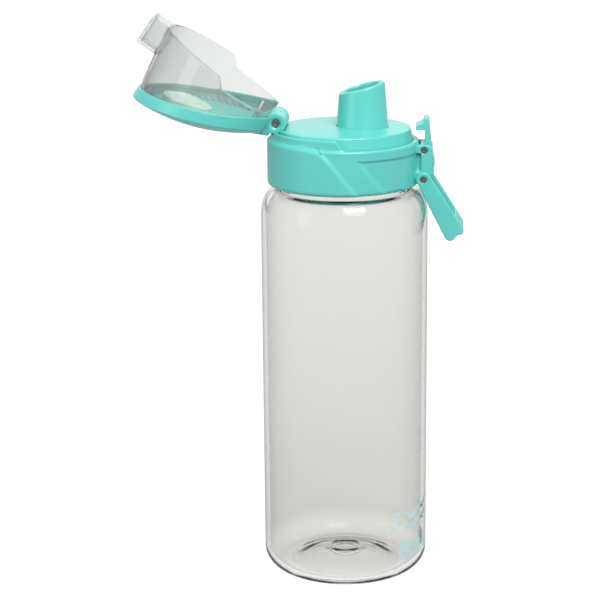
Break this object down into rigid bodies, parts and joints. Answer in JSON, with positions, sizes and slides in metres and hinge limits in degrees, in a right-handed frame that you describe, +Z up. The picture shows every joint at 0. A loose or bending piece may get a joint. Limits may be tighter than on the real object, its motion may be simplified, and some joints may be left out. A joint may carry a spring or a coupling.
{
  "type": "water bottle",
  "caption": "Clear drinking bottle with a screw-on lid, slanted spout, hinged flip cover with a push latch, and a carry loop.",
  "frame": {"origin": "centre of the ring that the bottle stands on, in the standing plane", "axes": "+Z up along the bottle, +X towards the latch and carry loop, -X towards the cover's hinge"},
  "size_m": [0.1378, 0.07, 0.239],
  "materials": {
    "clear_body": "clear moulded plastic, smooth and glossy",
    "clear_cover": "clear moulded plastic, smooth and glossy",
    "lid_plastic": "mint green moulded plastic with a soft satin gloss",
    "seal_rubber": "pale mint silicone",
    "pin_steel": "plain steel pin, ends brushed"
  },
  "bodies": {
    "bottle": {"bottle_body": "clear_body"},
    "gasket": {"neck_gasket": "seal_rubber"},
    "lid": {"lid_cap": "lid_plastic", "lid_collar": "lid_plastic", "spout": "lid_plastic", "cover_hinge_pin": "pin_steel", "cover_spring": "pin_steel", "latch_pin": "pin_steel", "latch_spring": "pin_steel", "loop_pins": "pin_steel"},
    "cover": {"cover_frame": "lid_plastic", "cover_dome": "clear_cover", "cover_seal": "seal_rubber"},
    "latch": {"latch_lever": "lid_plastic"},
    "loop": {"carry_loop": "lid_plastic"}
  },
  "joints": [
    {"name": "lid_lift", "type": "slide", "parent": "bottle", "child": "gasket", "axis": [0, 0, 1], "range_m": [0, 0.0061]},
    {"name": "lid_turn", "type": "hinge", "parent": "gasket", "child": "lid", "pos_m": [0, 0, 0.17], "axis": [0, 0, 1], "range_deg": [0, 540]},
    {"name": "cover_hinge", "type": "hinge", "parent": "lid", "child": "cover", "pos_m": [-0.0278, 0, 0.195], "axis": [0, 1, 0], "range_deg": [0, 145], "stiffness_Nm_per_rad": 0.01, "springref_deg": -28.65, "deforming": ["cover_spring"]},
    {"name": "latch", "type": "hinge", "parent": "lid", "child": "latch", "pos_m": [0.03345, 0, 0.1838], "axis": [0, 1, 0], "range_deg": [0, 8], "stiffness_Nm_per_rad": 0.08, "springref_deg": -5.73, "deforming": ["latch_spring"]},
    {"name": "loop_swing", "type": "hinge", "parent": "lid", "child": "loop", "pos_m": [0.0332, 0, 0.1719], "axis": [0, -1, 0], "range_deg": [0, 115]}
  ],
  "couplings": [
    {"joint": "lid_lift", "follows": "lid_turn", "m_per_rad": 0.00063662}
  ]
}
